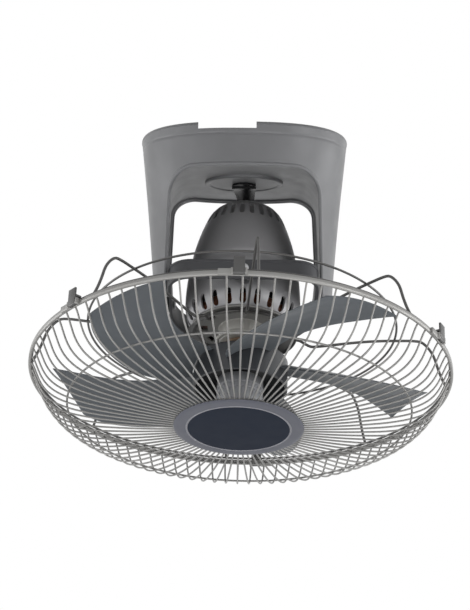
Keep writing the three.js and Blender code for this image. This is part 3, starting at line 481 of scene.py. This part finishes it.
def arch_beads():
    """The rounded lip along the arch's edge on the front and on the back."""
    beads = Build()
    outline = [Vector((x, 0, z)) for x, z in arch(0.4, -3)]
    run = []
    for a, b in zip(outline, outline[1:]):
        steps = max(1, round((b - a).length / 4))
        run += [a.lerp(b, i / steps) for i in range(steps)]
    run.append(outline[-1])
    for side in (-1, 1):
        line = [Vector((p.x, side * (canopy_depth(p.x, p.z) - 1.1), p.z)) for p in run]
        beads.add(*tube(line, 2.1, 12))
    finish_piece(beads.object("arch_beads"), CANOPY, "canopy", CANOPY_GREY, angle=60)


def boss_cover():
    cover = Build().add(*lathe([
        (8, 128.5), (35.2, 128.5), (36, 128), (37, 127.7), (38.6, 127.6), (39.8, 127.9), (40.6, 128.7),
        (40.9, 129.6), (40.9, 132.7), (8, 132.7)], 144)).object("boss_cover")
    finish_piece(cover, CANOPY, "canopy", CANOPY_GREY, ["crank_boss_cover"])


def crank_arm():
    """A tapered plate whose underside follows the sphere that the motor's tail sweeps."""
    near, far, length = 12.7, 8, 46
    lean = math.asin((near - far) / length)
    arcs = ((near, 0, math.pi - lean, 2 * math.pi + lean), (far, length, lean, math.pi - lean))
    outline = [
        (r * math.cos(a0 + (a1 - a0) * i / 20), y + r * math.sin(a0 + (a1 - a0) * i / 20))
        for r, y, a0, a1 in arcs for i in range(21)
    ]
    arm = Build().add(*prism(outline, 98, 127.3)).object("crank_plate")
    sweep = [(124 * math.sin(a), 124 * math.cos(a)) for a in (math.radians(3 * i) for i in range(11))]
    cut(arm, Build().add(*lathe([(0, 60), (sweep[-1][0], 60)] + sweep[::-1], 96, False)).object("sweep"))
    cut(arm, Build().add(*block(-20, 20, -20, 0, 98, 125.6)).object("step"))
    hole = lathe([(0, 90), (5.8, 90), (5.8, 125.3), (0, 125.3)], 48, False)
    cut(arm, Build().add(*hole, Matrix.Translation((0, length, 0))).object("bush_hole"))
    rim = lathe([(4.3, 126.2), (6.5, 126.2), (6.5, 132.7), (4.3, 132.7)], 48)
    hub = Build().add(*rim).object("crank_hub")
    bevel(arm, 0.7, 3)
    turn = CANOPY @ Matrix.Rotation(CRANK_TURN, 4, "Z")
    finish_piece(arm, turn, "crank", GLOSS_BLACK, ["crank_arm"], 40)
    finish_piece(hub, turn, "crank", GLOSS_BLACK, ["crank_arm"])


def canopy_shell():
    body = canopy_body("canopy_shell", canopy_loop(0, -10, DROP, True))
    cut(body, arch_tool(0))
    core = canopy_body("core", canopy_loop(5, -20, DROP))
    cut(core, arch_tool(2.2), "INTERSECT")
    cut(body, core)
    inner = canopy_body("inner", canopy_loop(3, 16, DROP + 2))
    cut(inner, arch_tool(7.5))
    cut(body, inner)
    tools = Build().add(*block(-47, 11, -130, -70, DROP - 7, DROP + 5))
    bosses = Build()
    slope, near, far = 6.5 / 11.8, 70, 115
    pin_hole = lathe([(0, 74), (3.3, 74), (3.3, 89.6), (0, 89.6)], 24, False)
    pin_boss = lathe([(3.3, 80.2), (9, 80.2), (9, 88.5), (3.3, 88.5)], 40)
    screw_z = 160.5
    r = canopy_r(screw_z)
    screw_hole = lathe([
        (0, r - 8), (2.3, r - 8), (2.3, r - 2.2), (4.5, r - 2.2), (4.5, r + 2), (0, r + 2)], 24, False)
    for side in (-1, 1):
        foot = [(side * x, z) for x, z in (
            (near, -8.5 - slope * 10.2), (far, -2 + slope * 23), (far, -40), (near, -40))]
        tools.add(*prism(foot, -110, 110), about_x())
        tools.add(*pin_hole, about_y(side))
        tools.add(*screw_hole, Matrix.Translation((0, 0, screw_z)) @ about_y(side))
        bosses.add(*pin_boss, about_y(side))
    tools.add(*lathe([(0, 125), (8, 125), (8, 150), (0, 150)], 40, False))
    cut(body, tools.object("tools"))
    cut(body, bosses.object("bosses"), "UNION")
    bevel(body, 0.7)
    finish_piece(body, CANOPY, "canopy", CANOPY_GREY, ["canopy_hood"], 28)


canopy_shell()
arch_beads()
boss_cover()
crank_arm()


# ---------------------------------------------------------------- guards
WIRE_COUNT, WIRE_R, SUPPORT_R, RIM_OUTER_R = 90, 0.95, 173.2, 215.3
FRONT = [(60, -139.2), (82, -138), (105, -136.5), (128, -134.4), (150, -131.8), (172, -127.2), (186, -121.8),
         (195, -115.2), (201, -107.5), (206, -97.5), (209.5, -90), (212.2, -85.5)]


def front_guard():
    wires = Build()
    line = spline([(r, 0, z) for r, z in FRONT])
    for i in range(WIRE_COUNT):
        az = 360 * i / WIRE_COUNT
        wires.add(*tube([polar(p.x, az, p.z) for p in line], WIRE_R, 8))
    finish_piece(wires.object("front_wires"), HEAD, "fan_head", WIRE, ["front_guard"], 50)
    band = Build()
    t, top, low = RIM_OUTER_R, -81.7, -87.2
    band.add(*lathe([
        (t - 2.9, top - 0.5), (t - 2.3, top), (t - 0.8, top - 0.1), (t, top - 0.8), (t, low + 0.8),
        (t - 0.8, low + 0.1), (t - 2.3, low), (t - 2.9, low + 0.5), (t - 2.9, low + 1), (t - 1.9, low + 1.3),
        (t - 1.9, top - 1.3), (t - 2.9, top - 1)], 240))
    finish_piece(band.object("rim_band"), HEAD, "fan_head", BAND, ["front_guard"], 50)
    plate = Build().add(*lathe([
        (0, -139.8), (61, -139.8), (62, -139.2), (62, -137.2), (61, -136.5), (30, -136.5), (27, -133.5),
        (0, -133.5)], 96, False))
    finish_piece(plate.object("guard_hub_plate"), HEAD, "fan_head", WIRE, ["front_guard"])
    knee = Build().add(*hoop(SUPPORT_R, 1, -124.4))
    finish_piece(knee.object("support_ring"), HEAD, "fan_head", WIRE, ["guard_support_ring"], 60)


front_guard()

FIRST_SPOKE, SPOKE_R = 3.85, 1.45
SPOKE = [(52, -37), (60, -37.6), (66, -41), (72, -43.6), (80, -42.8), (90, -41), (104, -38.2), (118, -35.6),
         (132, -33.4), (146, -31.7), (159, -30.6), (170, -29.8), (178, -29.4), (187, -30.3), (193.5, -35.8),
         (199.5, -45.5), (204, -60.5), (208, -72), (211.6, -80.2)]


def back_guard():
    wires = Build()
    line = spline([(r, 0, z) for r, z in SPOKE])
    for i in range(8):
        wires.add(*tube([polar(p.x, FIRST_SPOKE + 45 * i, p.z) for p in line], SPOKE_R, 12))
    wires.add(*hoop(159.2, 1.2, -28.8))
    wires.add(*hoop(212, 1.2, -80.4, 240))
    finish_piece(wires.object("back_wires"), HEAD, "fan_head", REAR_WIRE, ["back_guard"], 60)
    plate = Build().add(*lathe([
        (47.2, -29.8), (48.4, -30), (50, -31.4), (52.4, -35.6), (54, -36.6), (56.4, -36.8), (57, -37.3),
        (56.4, -37.9), (53.6, -37.8), (51.4, -36.6), (49, -32.4), (47.4, -31.2), (46.8, -30.6)], 96))
    finish_piece(plate.object("guard_plate"), HEAD, "fan_head", REAR_WIRE, ["back_guard"])


back_guard()


# ---------------------------------------------------------------- motor
def slots(count, width, z0, z1, r0, r1, first=0.0, foot=None):
    """Upright slot tools with round ends, in a circle; foot is their width at the lower end."""
    made = Build()
    half, low = width / 2, (foot or width) / 2
    turns = [math.pi * i / 6 for i in range(7)]
    outline = [(half * math.cos(a), z1 - half + half * math.sin(a)) for a in turns]
    outline += [(-low * math.cos(a), z0 + low - low * math.sin(a)) for a in turns]
    verts, faces = prism(outline, r0, r1)
    for i in range(count):
        made.add(verts, faces, Matrix.Rotation(math.radians(first + 360 * i / count), 4, "Z") @ about_x())
    return made


WALL = 2.5  # of the motor's covers
TOP = [(56.9, 33.3), (56.4, 38), (55.6, 44), (54.4, 52), (52.8, 60), (50.7, 68.5), (48.5, 76), (46, 84),
       (43.5, 91), (41.2, 97), (38.6, 102), (35.2, 106.4), (31, 109.8), (26, 112.2), (20, 113.8), (12, 114.5)]
LOW = [(51.9, -27.1), (54.4, -24.4), (56.6, -20.4), (58.2, -15.5), (59.2, -10), (59.8, -3), (59.8, 6),
       (59.4, 14), (58.8, 22), (58.2, 27), (57.5, 28.4), (57.4, 32.7)]


def turned_blocks(count, first, *box):
    """Box-shaped tools in a circle."""
    made = Build()
    for i in range(count):
        made.add(*block(*box), Matrix.Rotation(math.radians(first + 360 / count * i), 4, "Z"))
    return made


TO_HEAD = HEAD.inverted()


def axis_distance(face):
    """How far a face in the shared frame lies from the head's axis, in millimetres."""
    c = TO_HEAD @ face.center
    return math.hypot(c.x, c.y)


def paint_shade_inside(shell):
    """Paints the faces that look towards the motor's axis black as painted shade, so that the slots read
    dark: the inside of the cover is the cover's own grey and is dark only in shade.
    """
    shell.data.materials.append(BLACK)
    for f in shell.data.polygons:
        c = TO_HEAD @ f.center
        n = TO_HEAD.to_3x3() @ f.normal
        inward = -(n.x * c.x + n.y * c.y) / max(math.hypot(c.x, c.y) * n.length, 1e-6)
        f.material_index = int(inward > 0.5)


def motor():
    wall = [(max(r - WALL, 0), z - (2.2 if r < 40 else 0)) for r, z in TOP]
    top = Build().add(*lathe(TOP + [(0, 114.5), (0, 112.3)] + wall[::-1], 176)).object("motor_crown")
    cut(top, slots(26, 5.2, 86, 102, 26, 62, -5.2).object("s"))
    bevel(top, 0.35)
    finish_piece(top, HEAD, "fan_head", MOTOR_GREY, ["motor_top_cover"], 30)
    # The crown's inner faces take painted shade.
    paint_shade_inside(top)
    shell = LOW + [(r - WALL, z) for r, z in LOW][::-1]
    low = Build().add(*lathe(shell, 176)).object("motor_barrel")
    boss, pocket = Build(), Build()
    solid = lathe([(0, 53.6), (10, 53.6), (10, 59.3), (0, 59.3)], 48, False)
    hollow = lathe([(0, 50), (3.3, 50), (3.3, 55.8), (8, 55.8), (8, 66), (0, 66)], 48, False)
    for side in (-1, 1):
        boss.add(*solid, about_x(-side))
        pocket.add(*hollow, about_x(-side))
    cut(low, boss.object("b"), "UNION")
    cut(low, pocket.object("p"))
    cut(low, slots(24, 5.6, -26.6, -10.4, 46, 68, foot=6.8).object("s"))
    bevel(low, 0.35)
    finish_piece(low, HEAD, "fan_head", MOTOR_GREY, ["motor_lower_housing"], 30)
    # The barrel's inner faces take painted shade.
    paint_shade_inside(low)
    dish = Build().add(*lathe([
        (11.4, -46), (21.4, -46), (23.2, -45.4), (24, -43.8), (24, -29.4), (24.8, -28.6), (46.6, -28.6),
        (47.4, -29.4), (51, -29.4), (51.5, -28.9), (51.5, -27.6), (48.6, -27.6), (47.6, -26.4),
        (11.4, -26.4)], 120)).object("front_bracket")
    tools = turned_blocks(10, 18, -5.4, 5.4, -42.6, -35.6, -31, -25)
    ribs = turned_blocks(5, 12, -2.6, 2.6, -24.6, -23.2, -44, -30)
    cut(dish, tools.add(ribs.verts, ribs.faces).object("s"))
    bevel(dish, 0.3)
    finish_piece(dish, HEAD, "fan_head", CAST, ["motor_front_bracket"])
    # Painted shade: the dish's plate, away from the axis, takes the darker copy of the cast aluminium.
    dish.data.materials.append(CAST_SHADED)
    for f in dish.data.polygons:
        f.material_index = int(axis_distance(f) > 24.6)
    nut = Build().add(*lathe([
        (24.4, -40.6), (25.4, -41), (26.4, -42.2), (27.4, -43), (27.4, -44.6), (26.6, -45.2),
        (24.4, -45.2)], 120))
    finish_piece(nut.object("ring_nut"), HEAD, "fan_head", CAST, ["guard_nut"])
    collar = Build().add(*lathe([
        (5.4, -46.6), (17.4, -46.6), (18, -47.2), (18, -49.4), (17.2, -50), (17.2, -50.6), (18, -51.2),
        (18, -53), (17.4, -53.6), (5.4, -53.6)], 96))
    finish_piece(collar.object("neck_collar"), HEAD, "rotor", BRASS, ["shaft_collar"])


motor()


# ---------------------------------------------------------------- gimbal ring
def ring_outline(inset):
    """Half a circle at the back and two rounded corners at the front."""
    w, r, steps = 76.5 - inset, 23.5 - inset, 40
    pts = [(w * math.cos(a), w * math.sin(a)) for a in (math.pi * i / steps for i in range(steps + 1))]
    for sx, start in ((-1, math.pi), (1, 1.5 * math.pi)):
        pts += [
            (sx * (w - r) + r * math.cos(start + a), -(w - r) + r * math.sin(start + a))
            for a in (math.pi / 2 * i / 12 for i in range(13))
        ]
    return pts


def gimbal_ring():
    """A band of one section all round, its edges rounded."""
    outer, inner = ring_outline(0), ring_outline(3.5)
    verts, faces = [], []
    levels = [(0.25, -11), (0.06, -10.7), (0, -10), (0, -8.4), (0.24, -7.8), (0.24, 7.8), (0, 8.4), (0, 10),
              (0.06, 10.7), (0.25, 11), (0.75, 11), (0.94, 10.7), (1, 10), (1, -10), (0.94, -10.7),
              (0.75, -11)]
    n = len(outer)
    for t, z in levels:
        verts += [(o[0] + (i[0] - o[0]) * t, o[1] + (i[1] - o[1]) * t, z) for o, i in zip(outer, inner)]
    for k in range(len(levels)):
        a, b = k * n, ((k + 1) % len(levels)) * n
        faces += [(a + i, a + (i + 1) % n, b + (i + 1) % n, b + i) for i in range(n)]
    body = Build().add(verts, faces).object("ring_band")
    bar = lathe([(0, -90), (3.3, -90), (3.3, 90), (0, 90)], 32, False)
    for way in (about_x(), about_y(1)):
        cut(body, Build().add(*bar, way).object("pin_holes"))
    finish_piece(body, RING, "gimbal_ring", RING_GREY, ["gimbal_ring"], 28)


gimbal_ring()


# ---------------------------------------------------------------- blades, hub and spinner
STATIONS = [  # radius, trailing azimuth and height, leading azimuth and height
    (48.8, -17, -85, 37, -72.5), (64, -13.6, -90, 35, -73.4), (80, -10, -94, 34.3, -74),
    (95, -5.6, -96.3, 34.6, -74.6), (110, -1, -97.5, 36.2, -75), (125, 3.4, -97.4, 38.6, -75),
    (140, 7.8, -96.5, 41.2, -75), (155, 12, -95, 44.2, -74.8), (170, 16, -93, 46.8, -74.5),
    (180, 18.9, -90.8, 48.4, -74.4), (188, 21.6, -88, 49.5, -74.4), (193.5, 23.6, -85, 50.5, -75)]
BLADE_HALF, CAMBER, TIP_HOLLOW = 1.15, 20, 12  # half the thickness, and how far the middle bulges


def blade(index):
    """A cambered sheet between two lofted skins, thinner towards its edges."""
    across = 20
    rows = []
    for r, a0, z0, a1, z1 in STATIONS:
        row = []
        for j in range(across + 1):
            t = j / across
            hollow = TIP_HOLLOW * t * (1 - t) * max(0, (r - 170) / 23.5)
            row.append(polar(r - hollow, a0 + (a1 - a0) * t, z0 + (z1 - z0) * t + CAMBER * t * (1 - t)))
        rows.append(row)
    columns = [spline([row[j] for row in rows]) for j in range(across + 1)]
    n = len(columns[0])
    grid = [[columns[j][i] for j in range(across + 1)] for i in range(n)]
    verts, faces = [], []
    for side in (1, -1):
        for i in range(n):
            for j in range(across + 1):
                edge = min(j, across - j, n - 1 - i)
                thick = BLADE_HALF * (0.35 if edge < 1 else 0.85 if edge < 2 else 1)
                verts.append(grid[i][j] + Vector((0, 0, side * thick)))
    w = across + 1
    half = n * w
    for i in range(n - 1):
        for j in range(across):
            a = i * w + j
            faces.append((a, a + 1, a + w + 1, a + w))
            faces.append((half + a, half + a + w, half + a + w + 1, half + a + 1))
    loop = list(range(w)) + [i * w + w - 1 for i in range(1, n)]
    loop += [(n - 1) * w + j for j in range(w - 2, -1, -1)] + [i * w for i in range(n - 2, 0, -1)]
    for k, a in enumerate(loop):
        b = loop[(k + 1) % len(loop)]
        faces.append((a, b, half + b, half + a))
    made = Build().add(verts, faces, Matrix.Rotation(math.radians(72 * index), 4, "Z"))
    skin = made.object(f"blade_skin_{index + 1}")
    finish_piece(skin, HEAD, "rotor", BLADE, [f"blade_{index + 1}"], 60)


for k in range(5):
    blade(k)


def hub():
    body = Build().add(*lathe([
        (5.4, -87.6), (9, -87.6), (9, -77), (45.6, -77), (45.6, -97.6), (46.2, -98), (47.6, -98),
        (48.2, -97.4), (48.2, -68), (47.4, -66.4), (45.6, -65.6), (44, -66), (17, -73.4), (14.6, -72.4),
        (12.4, -69), (12, -64), (12, -54.6), (11.4, -54), (5.4, -54)], 144)).object("hub_shell")
    finish_piece(body, HEAD, "rotor", HUB_DARK, ["blade_hub"], 35)
    cap = Build().add(*lathe([
        (0, -121), (14, -121), (17.5, -120.4), (20.4, -118.6), (22.4, -115.6), (23.4, -111), (23.5, -106),
        (22.9, -105.4), (22.9, -104.4), (23.5, -103.8), (23.5, -100), (22.9, -99.4), (22.9, -98.4),
        (23.5, -97.8), (23.5, -89), (23, -88.2), (5.4, -88.2), (5.4, -116.3), (0, -116.3)],
        120, False)).object("spinner_cap")
    flutes = Build()
    for i in range(12):
        m = Matrix.Rotation(math.radians(30 * i), 4, "Z") @ Matrix.Translation((0, -24.6, 0))
        flutes.add(*lathe([(0, -125), (2.2, -125), (2.2, -107), (0, -107)], 20, False), m)
    cut(cap, flutes.object("f"))
    finish_piece(cap, HEAD, "rotor", SPINNER, ["spinner_nut"], 35)


hub()


# ---------------------------------------------------------------- badge
def badge():
    """A bare domed disc with one ring groove."""
    face, groove_in, groove_out = -141.8, 51.4, 53.4

    def z(r):
        return face - 1.2 * (1 - (r / 62) ** 2)

    dome = [(r, z(r)) for r in (0, 12, 24, 36, 46, groove_in)]
    groove = [(51.8, z(51.8) + 0.7), (53, z(53) + 0.7), (groove_out, z(groove_out))]
    shoulder = [(58, z(58)), (62, face), (64.4, face + 0.35), (65.3, face + 0.9), (65.5, -140.3)]
    disc = Build().add(*lathe(dome + groove + shoulder + [(0, -140.3)], 144, False)).object("badge_disc")
    finish_piece(disc, HEAD, "fan_head", BADGE, ["hub_badge"], 30)
    disc.data.materials.append(BADGE_RIM)
    disc.data.materials.append(BADGE_LINE)
    for f in disc.data.polygons:
        r = axis_distance(f)
        f.material_index = 0 if r < groove_in else 2 if r < groove_out - 0.1 else 1


badge()

# ---------------------------------------------------------------- small pieces
BODY_OF = {node: body for body, nodes in frame["record"]["behaviour"]["bodies"].items() for node in nodes}
SLOT_OF = {part["node"]: part["material_slot"] for part in frame["record"]["subparts"]}


def dress(name, width, material=None):
    """The solid of a small sub-part with its flats joined up and its edges rounded, in millimetres."""
    mesh = frame["nodes"][name].data.copy()
    bm = bmesh.new()
    bm.from_mesh(mesh)
    bmesh.ops.remove_doubles(bm, verts=bm.verts, dist=1e-6)
    bmesh.ops.dissolve_limit(bm, angle_limit=math.radians(1), verts=bm.verts, edges=bm.edges)
    bm.to_mesh(mesh)
    bm.free()
    piece = bpy.data.objects.new(f"{name}_skin", mesh)
    scene.collection.objects.link(piece)
    bevel(piece, width / 1000)
    slot = SLOT_OF[name]
    finish_piece(piece, Matrix(), BODY_OF[name], material or SLOT_MATERIAL[slot], [name], 34)


def clip_body(place, az):
    """A strap on the rim's band, with two ears and a pin for its lever."""
    section = [
        (-13.5, -214.1), (13.5, -214.1), (13.5, -219.1), (11.5, -219.1), (11.5, -215.1), (0.5, -215.1),
        (0.5, -219.1), (-1.5, -219.1), (-1.5, -217.2), (-13.5, -217.2)]
    strap = Build().add(*prism(section, -87.9, -81.4)).object(f"clip_strap_{place}")
    bevel(strap, 0.45)
    wire = tube([Vector((x, -217.1, -85.9)) for x in (0.2, 6, 11.8)], 0.9, 16)
    pin = Build().add(*wire).object(f"clip_pin_{place}")
    turned = HEAD @ Matrix.Rotation(math.radians(az), 4, "Z")
    for piece, material in ((strap, BAND), (pin, STEEL)):
        finish_piece(piece, turned, "fan_head", material, [f"clip_body_{place}"], 50)


for place, az in (("front", -2.5), ("left", -49), ("right", 61), ("back", 173)):
    clip_body(place, az)
    dress(f"clip_lever_{place}", 0.4, CLIP_GREY)
for name in ("ring_pin_front", "ring_pin_back", "tail_stud", "ceiling_plate", "terminal_block",
             "run_capacitor", "swing_gear_case", "swing_motor"):
    dress(name, 0.4)
for side in ("left", "right"):
    for kind in ("hood_screw", "leg_pin", "leg_washer"):
        dress(f"{kind}_{side}", 0.35)

# ---------------------------------------------------------------- light, floor and sky
world = bpy.data.worlds.new("sky")
scene.world = world
world.use_nodes = True
tree = world.node_tree
background = tree.nodes["Background"]


def seen(tree):
    """1 for the rays that show a background: those of the camera, of gloss and of glass."""
    path = tree.nodes.new("ShaderNodeLightPath")
    factor = path.outputs["Is Camera Ray"]
    for ray in ("Is Glossy Ray", "Is Transmission Ray"):
        either = tree.nodes.new("ShaderNodeMath")
        either.operation = "MAXIMUM"
        tree.links.new(factor, either.inputs[0])
        tree.links.new(path.outputs[ray], either.inputs[1])
        factor = either.outputs[0]
    return factor


# The camera and gloss see white; the sky's own light is brighter below and behind than above and in front.
heading = tree.nodes.new("ShaderNodeTexCoord")
split = tree.nodes.new("ShaderNodeSeparateXYZ")
tree.links.new(heading.outputs["Generated"], split.inputs["Vector"])
fall = spread(tree, split.outputs["Z"], 0.64, 0.06, -0.3, 0.8)
depth = spread(tree, split.outputs["Y"], 0.5, 1.5, -0.6, 0.6)
sky = tree.nodes.new("ShaderNodeMath")
sky.operation = "MULTIPLY"
tree.links.new(fall, sky.inputs[0])
tree.links.new(depth, sky.inputs[1])
level = tree.nodes.new("ShaderNodeMapRange")
level.inputs["To Max"].default_value = 1.0
tree.links.new(sky.outputs[0], level.inputs["To Min"])
tree.links.new(seen(tree), level.inputs["Value"])
tree.links.new(level.outputs["Result"], background.inputs["Strength"])
background.inputs["Color"].default_value = (1, 1, 1, 1)


def softbox(name, place, target, size, power):
    lamp = bpy.data.lights.new(name, "AREA")
    lamp.shape = "RECTANGLE"
    lamp.size, lamp.size_y = size
    lamp.energy = power
    o = bpy.data.objects.new(name, lamp)
    scene.collection.objects.link(o)
    o.location = place
    o.rotation_euler = (Vector(target) - Vector(place)).to_track_quat("-Z", "Y").to_euler()
    o.visible_camera = False


MIDDLE = (0, 0, -0.15)
softbox("left_box", (-1.6, 0.15, -0.5), MIDDLE, (1.2, 1.4), 12)
softbox("right_box", (1.6, 0.15, -0.5), MIDDLE, (1.2, 1.4), 15)
softbox("left_key", (-1.3, -1, 0), MIDDLE, (0.7, 0.7), 3)
softbox("right_key", (1.25, -1.05, 0.02), MIDDLE, (0.7, 0.7), 6)
softbox("low_box", (0, -0.9, -0.8), (0, 0, -0.3), (1.4, 0.8), 6.5)

floor_mesh = bpy.data.meshes.new("floor")
FLOOR_Z, FLOOR_HALF = -2.9, 40
corners = [(x * FLOOR_HALF, y * FLOOR_HALF, FLOOR_Z) for x, y in ((-1, -1), (1, -1), (1, 1), (-1, 1))]
floor_mesh.from_pydata(corners, [], [(0, 1, 2, 3)])
floor = bpy.data.objects.new("floor", floor_mesh)
scene.collection.objects.link(floor)
floor_material, floor_tree, floor_bsdf = shader("floor_paint", (0.82, 0.82, 0.82), 0.8)
# The camera and gloss see the floor pale; its light on the fan stays that of plain paint.
paleness = spread(floor_tree, seen(floor_tree), 0, 0.7, 0, 1)
floor_bsdf.inputs["Emission Color"].default_value = (1, 1, 1, 1)
floor_tree.links.new(paleness, floor_bsdf.inputs["Emission Strength"])
floor_mesh.materials.append(floor_material)

# ---------------------------------------------------------------- final update
bpy.context.view_layer.update()
